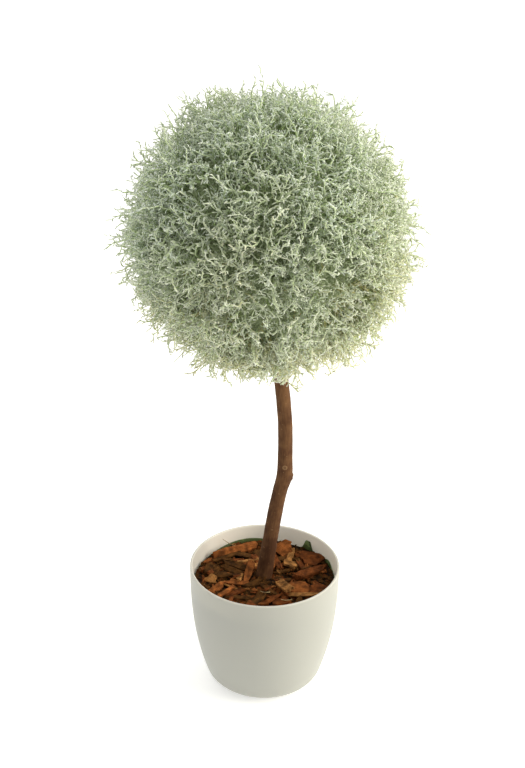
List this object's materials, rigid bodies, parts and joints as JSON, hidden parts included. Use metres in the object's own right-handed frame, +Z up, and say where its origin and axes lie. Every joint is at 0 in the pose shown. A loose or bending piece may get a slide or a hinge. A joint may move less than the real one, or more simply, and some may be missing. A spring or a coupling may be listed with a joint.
{
  "type": "potted lollipop topiary",
  "caption": "Table-top lollipop topiary: a clipped ball of fine forked grey-green sprigs on a bent wooden stem, in a plain round pot with a liner and bark chips.",
  "frame": {"origin": "centre of the pot's flat underside, on the surface it stands on", "axes": "+Z up along the pot's axis, -Y to the front, from where the stem kinks to the right, +X"},
  "size_m": [0.2533, 0.2544, 0.5708],
  "materials": {
    "pot_plastic": "smooth off-white plastic with a satin sheen",
    "liner_plastic": "thin dark green plastic, slightly shiny",
    "core_fibre": "dark pressed fibre, hidden under the bark",
    "bark_fines": "small crumbs of dark bark",
    "bark": "dry splintered bark, orange-brown to dark brown",
    "stem_bark": "thin dull brown bark with fine streaks and pale pores",
    "sprigs": "dull grey-green forked sprigs with paler tips"
  },
  "bodies": {
    "root": {"pot": "pot_plastic", "liner": "liner_plastic", "planting_core": "core_fibre", "bark_bed": "bark_fines", "stem": "stem_bark", "foliage_ball": "sprigs", "bark_chip_01": "bark", "bark_chip_02": "bark", "bark_chip_03": "bark", "bark_chip_04": "bark", "bark_chip_05": "bark", "bark_chip_06": "bark", "bark_chip_07": "bark", "bark_chip_08": "bark", "bark_chip_09": "bark", "bark_chip_10": "bark", "bark_chip_11": "bark", "bark_chip_12": "bark", "bark_chip_13": "bark", "bark_chip_14": "bark", "bark_chip_15": "bark", "bark_chip_16": "bark"}
  },
  "joints": []
}
